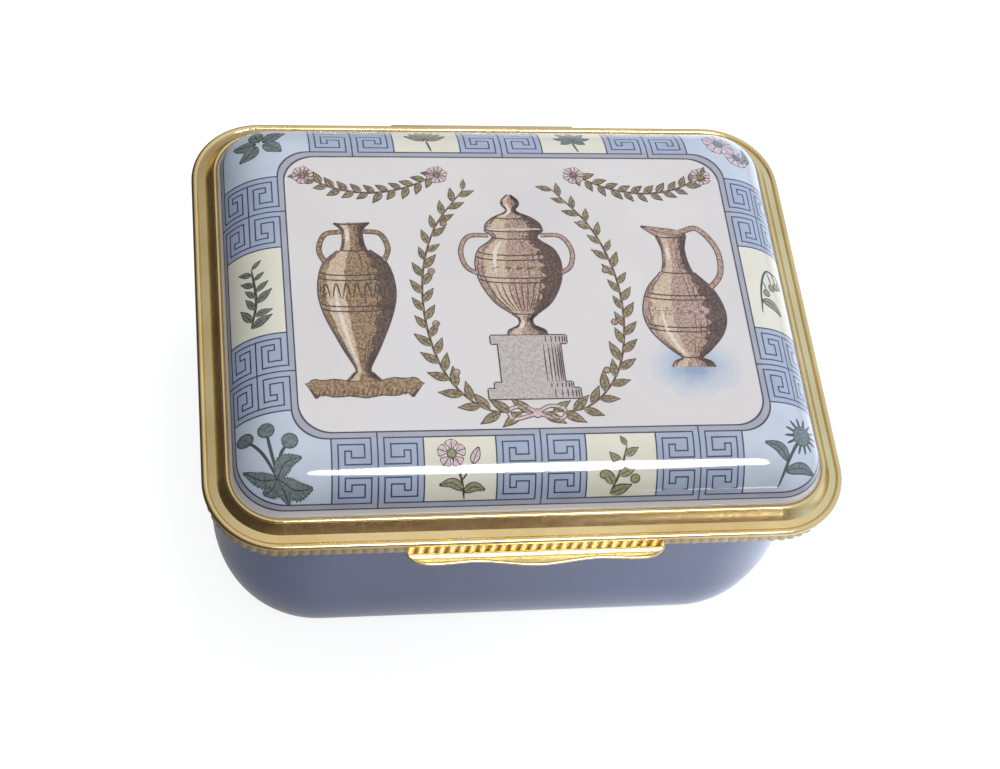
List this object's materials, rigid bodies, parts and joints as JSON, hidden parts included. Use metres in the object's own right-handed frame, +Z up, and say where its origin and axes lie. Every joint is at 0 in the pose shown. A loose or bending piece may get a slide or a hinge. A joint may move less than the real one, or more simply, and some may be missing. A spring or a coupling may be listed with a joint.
{
  "type": "hinged enamel trinket box",
  "caption": "Oblong enamelled copper trinket box with round corners, gilt rims, a milled band, a lobed thumbpiece and a domed lid on a back hinge.",
  "frame": {"origin": "middle of the flat face the box rests on, under the middle of the lid's rim outline", "axes": "+X along the front from left to right, +Y from the front (thumbpiece) to the back (hinge), +Z up"},
  "size_m": [0.0762, 0.0642, 0.0366],
  "materials": {
    "blue_enamel": "glossy slate-blue vitreous enamel",
    "printed_enamel": "glossy off-white vitreous enamel with a printed border",
    "white_enamel": "glossy white counter-enamel",
    "copper": "stamped copper sheet",
    "gilt_brass": "polished gilt brass with light wear",
    "hinge_wire": "drawn brass wire"
  },
  "bodies": {
    "base": {"base_enamel": "blue_enamel", "base_copper": "copper", "base_lining": "white_enamel", "base_mount": "gilt_brass", "base_collar": "gilt_brass", "base_knuckle_left": "gilt_brass", "base_knuckle_middle": "gilt_brass", "base_knuckle_right": "gilt_brass", "hinge_pin": "hinge_wire"},
    "lid": {"lid_enamel": "printed_enamel", "lid_copper": "copper", "lid_lining": "white_enamel", "lid_mount": "gilt_brass", "milled_band": "gilt_brass", "thumbpiece": "gilt_brass", "lid_knuckle_left": "gilt_brass", "lid_knuckle_right": "gilt_brass"}
  },
  "joints": [
    {"name": "lid_hinge", "type": "hinge", "parent": "base", "child": "lid", "pos_m": [0, 0.03075, 0.02622], "axis": [-1, 0, 0], "range_deg": [0, 100]}
  ]
}
